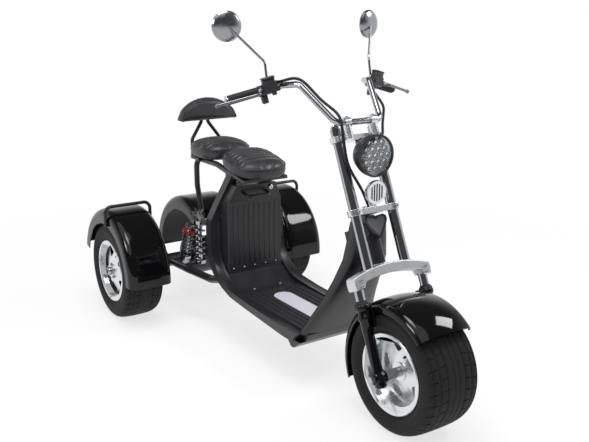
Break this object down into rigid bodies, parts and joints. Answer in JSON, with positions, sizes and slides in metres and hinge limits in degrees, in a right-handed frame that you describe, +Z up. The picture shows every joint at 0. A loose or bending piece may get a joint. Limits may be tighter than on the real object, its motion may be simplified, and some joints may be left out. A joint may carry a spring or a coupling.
{
  "type": "three-wheeled electric scooter",
  "caption": "Step-through electric trike scooter: wide steered front wheel, raised handlebar, flat foot deck, driver and pillion seats with backrest, and fendered rear wheels.",
  "frame": {"origin": "on the ground under the middle of the vehicle's box", "axes": "+X forward, +Y to the rider's left, +Z up"},
  "size_m": [2.057, 1.0442, 1.3897],
  "materials": {
    "black_steel": "satin",
    "gloss_black": "gloss",
    "black_plastic": "satin",
    "mat_rubber": "matt",
    "grey_plate": "satin",
    "leatherette": "satin",
    "chrome": "mirror polish",
    "cast_alloy": "satin cast",
    "polished_alloy": "polished",
    "steel": "brushed",
    "tyre": "matt",
    "red_lens": "gloss",
    "clear_lens": "clear",
    "mirror_glass": "mirror",
    "hose_rubber": "satin",
    "red_paint": "gloss"
  },
  "bodies": {
    "chassis": {"head_tube": "black_steel", "neck_shell": "black_steel", "neck_cowl": "black_plastic", "deck_frame": "black_steel", "deck_mat": "mat_rubber", "deck_plate": "grey_plate", "side_rails": "black_steel", "battery_case": "black_plastic", "battery_handle": "black_plastic", "driver_seat": "leatherette", "pillion_seat": "leatherette", "backrest_pad": "leatherette", "backrest_frame": "black_steel", "seat_frame": "black_steel", "rear_frame": "black_steel", "axle_housing": "black_steel", "shock_dampers": "chrome", "shock_springs": "chrome", "shock_collars": "red_paint", "mid_fender": "gloss_black", "tail_lamp": "red_lens", "rear_fenders": "gloss_black", "fender_stays": "black_steel", "fender_rails": "black_steel", "rear_calipers": "cast_alloy"},
    "steering": {"lower_yoke": "chrome", "fork_bridge": "cast_alloy", "fork_tubes": "chrome", "fork_legs": "gloss_black", "top_yoke": "chrome", "handlebar": "chrome", "grips": "mat_rubber", "controls": "black_plastic", "levers": "cast_alloy", "mirrors": "chrome", "mirror_glasses": "mirror_glass", "hoses": "hose_rubber", "headlamp": "black_plastic", "headlamp_lens": "clear_lens", "horn": "chrome", "front_fender": "gloss_black", "front_axle": "steel", "front_caliper": "cast_alloy"},
    "front_wheel": {"front_rim": "polished_alloy", "front_tyre": "tyre", "front_disc": "steel"},
    "rear_wheel_left": {"rear_rim_left": "polished_alloy", "rear_tyre_left": "tyre", "rear_disc_left": "steel"},
    "rear_wheel_right": {"rear_rim_right": "polished_alloy", "rear_tyre_right": "tyre", "rear_disc_right": "steel"}
  },
  "joints": [
    {"name": "steer", "type": "hinge", "parent": "chassis", "child": "steering", "pos_m": [0.764, 0, 0.19585], "axis": [-0.4067, 0, 0.9135], "range_deg": [-35, 35]},
    {"name": "front_spin", "type": "hinge", "parent": "steering", "child": "front_wheel", "pos_m": [0.8115, 0, 0.217], "axis": [0, 1, 0], "continuous": true},
    {"name": "rear_left_spin", "type": "hinge", "parent": "chassis", "child": "rear_wheel_left", "pos_m": [-0.7085, 0.407, 0.224], "axis": [0, 1, 0], "continuous": true},
    {"name": "rear_right_spin", "type": "hinge", "parent": "chassis", "child": "rear_wheel_right", "pos_m": [-0.7085, -0.407, 0.224], "axis": [0, 1, 0], "continuous": true}
  ]
}
